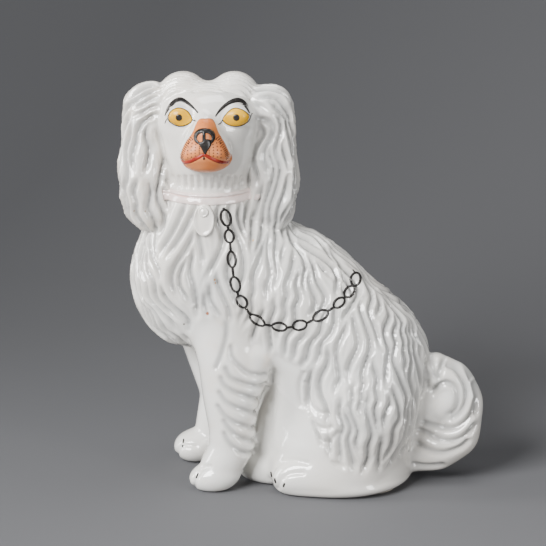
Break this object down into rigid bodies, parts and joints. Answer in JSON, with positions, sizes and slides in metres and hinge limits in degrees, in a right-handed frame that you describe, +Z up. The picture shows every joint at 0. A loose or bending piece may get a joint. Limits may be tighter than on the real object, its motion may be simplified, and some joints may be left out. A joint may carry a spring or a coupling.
{
  "type": "spaniel figurine",
  "caption": "Hollow white-glazed earthenware figurine of a seated spaniel, head turned to the viewer, with collar, locket and painted chain, standing on an oval base.",
  "frame": {"origin": "centre of the flat underside of the base, on the surface that the figurine stands on", "axes": "+Z up; -Y towards the viewer of the decorated display side; -X the way the chest faces; +X towards the tail"},
  "size_m": [0.273, 0.1268, 0.3138],
  "materials": {
    "white_glaze": "glossy lead glaze over white earthenware",
    "bare_clay": "unglazed, wiped clean before firing",
    "collar_glaze": "glossy glaze with remnants of rubbed gilding",
    "yellow_enamel": "glossy overglaze enamel",
    "black_enamel": "glossy overglaze enamel",
    "orange_enamel": "semi-gloss overglaze enamel",
    "red_enamel": "semi-gloss overglaze enamel"
  },
  "bodies": {
    "root": {"front_shell": "white_glaze", "back_shell": "white_glaze", "base_slab": "bare_clay", "left_foreleg": "white_glaze", "right_foreleg": "white_glaze", "tail": "white_glaze", "left_ear": "white_glaze", "right_ear": "white_glaze", "collar": "collar_glaze", "locket": "white_glaze", "iris_enamel": "yellow_enamel", "pupil_enamel": "black_enamel", "brow_enamel": "black_enamel", "muzzle_enamel": "orange_enamel", "nose_enamel": "black_enamel", "lip_enamel": "red_enamel", "chain_enamel": "black_enamel", "claw_enamel": "black_enamel"}
  },
  "joints": []
}
